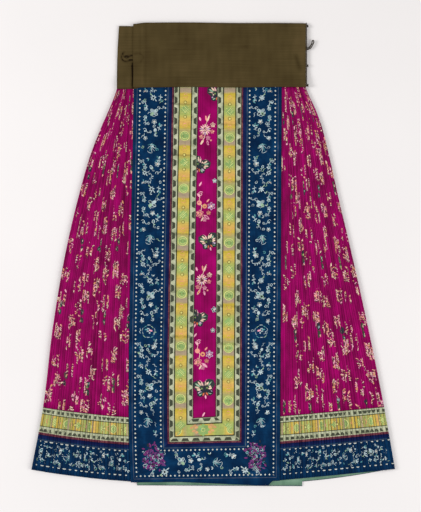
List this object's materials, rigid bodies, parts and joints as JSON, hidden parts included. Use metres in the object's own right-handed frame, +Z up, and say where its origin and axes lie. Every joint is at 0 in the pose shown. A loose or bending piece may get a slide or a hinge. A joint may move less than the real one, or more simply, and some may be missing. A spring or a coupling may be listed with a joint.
{
  "type": "pleated wrap skirt",
  "caption": "Pleated wrap skirt laid flat: a wide waistband, a flat bordered front panel with mitred ribbon trim, and knife-pleated flaring sides with hem bands.",
  "frame": {"origin": "centre of the laid-out skirt's bounding box, on the surface it lies on", "axes": "+X to the right seen from above, +Y from the hem up to the waistband, +Z up out of the surface, with the front up"},
  "size_m": [0.7561, 0.9646, 0.0101],
  "materials": {
    "magenta_silk": "magenta figured silk with a soft sheen, woven with small flower sprays and butterflies",
    "navy_ribbon": "navy satin ribbon woven with pale scrolls and rows of dots",
    "gold_ribbon": "gold satin ribbon between grey-green patterned tapes",
    "rose_piping": "narrow rose silk piping",
    "olive_cotton": "dark olive-brown plain cotton with a fine horizontal weave, faded at the edges",
    "green_lining": "pale green cotton lining"
  },
  "bodies": {
    "root": {"waistband_front": "olive_cotton", "waistband_under": "olive_cotton", "waistband_back": "olive_cotton", "waistband_edge_cord": "olive_cotton", "buttonhole": "olive_cotton", "button_loop": "olive_cotton", "loop_knot_1": "olive_cotton", "loop_knot_2": "olive_cotton", "loop_knot_3": "olive_cotton", "front_panel": "magenta_silk", "border_left": "navy_ribbon", "border_right": "navy_ribbon", "border_bottom": "navy_ribbon", "piping_left": "rose_piping", "piping_right": "rose_piping", "piping_bottom": "rose_piping", "trim_left": "gold_ribbon", "trim_right": "gold_ribbon", "trim_bottom": "gold_ribbon", "pleats_left": "magenta_silk", "pleats_right": "magenta_silk", "pleat_trim_left": "gold_ribbon", "pleat_trim_right": "gold_ribbon", "hem_band_left": "navy_ribbon", "hem_band_right": "navy_ribbon", "lining_back": "green_lining", "back_panel": "magenta_silk", "back_border_left": "navy_ribbon", "back_border_right": "navy_ribbon", "back_border_bottom": "navy_ribbon", "back_trim_left": "gold_ribbon", "back_trim_right": "gold_ribbon", "back_trim_bottom": "gold_ribbon", "back_pleats_left": "magenta_silk", "back_pleats_right": "magenta_silk", "back_pleat_trim_left": "gold_ribbon", "back_pleat_trim_right": "gold_ribbon", "back_hem_band_left": "navy_ribbon", "back_hem_band_right": "navy_ribbon"}
  },
  "joints": []
}
